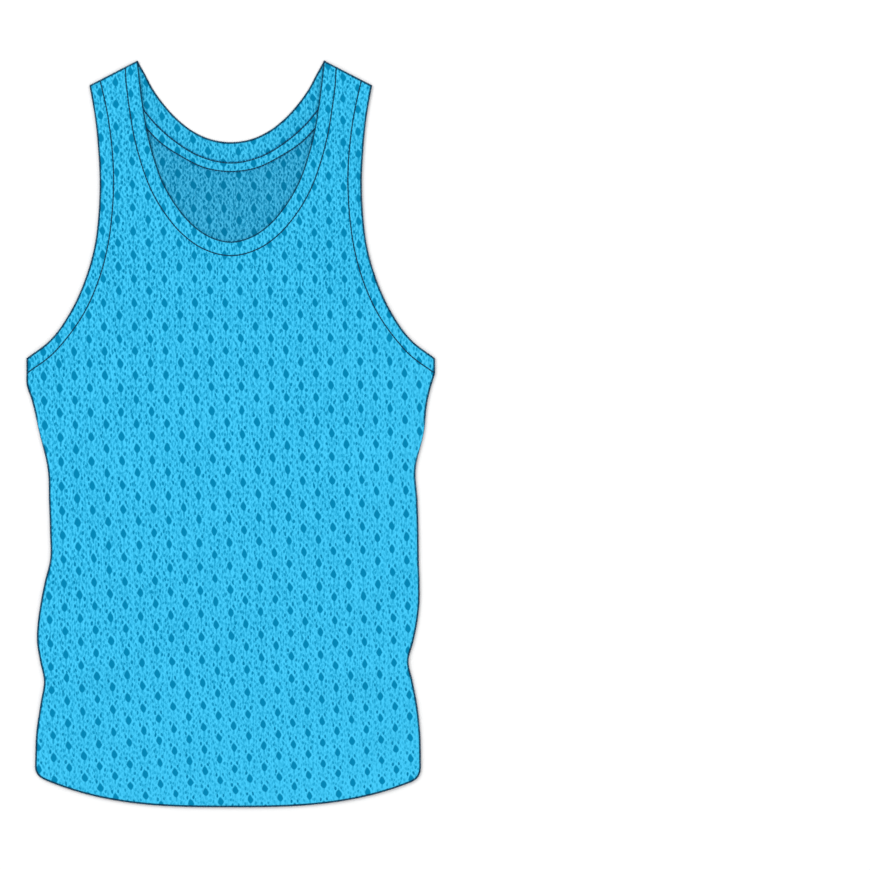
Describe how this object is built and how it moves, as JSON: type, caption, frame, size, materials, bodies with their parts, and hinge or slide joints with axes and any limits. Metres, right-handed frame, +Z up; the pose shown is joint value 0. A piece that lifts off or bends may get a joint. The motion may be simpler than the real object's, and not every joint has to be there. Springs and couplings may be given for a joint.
{
  "type": "training bib",
  "caption": "Sleeveless mesh training bib with neck and armhole bands, laid flat with its front up and its back panel underneath.",
  "frame": {"origin": "centre of the bounding box in the plan, on the surface that the bib lies on", "axes": "+Y from the hem to the shoulders, +Z up out of the front, +X to the wearer's left"},
  "size_m": [0.408, 0.746, 0.0072],
  "materials": {
    "mesh_cloth": "light-blue knitted polyester mesh with staggered drop-shaped eyelets, soft low sheen",
    "band_cloth": "the same light-blue mesh, doubled and stitched down with dark thread",
    "tape_cloth": "light-blue mesh tape, stitched along both edges"
  },
  "bodies": {
    "root": {"front_panel": "mesh_cloth", "back_panel": "mesh_cloth", "front_neck_band": "band_cloth", "back_neck_band": "band_cloth", "back_neck_tape": "tape_cloth", "armhole_band_front_left": "band_cloth", "armhole_band_front_right": "band_cloth", "armhole_band_back_left": "band_cloth", "armhole_band_back_right": "band_cloth"}
  },
  "joints": []
}
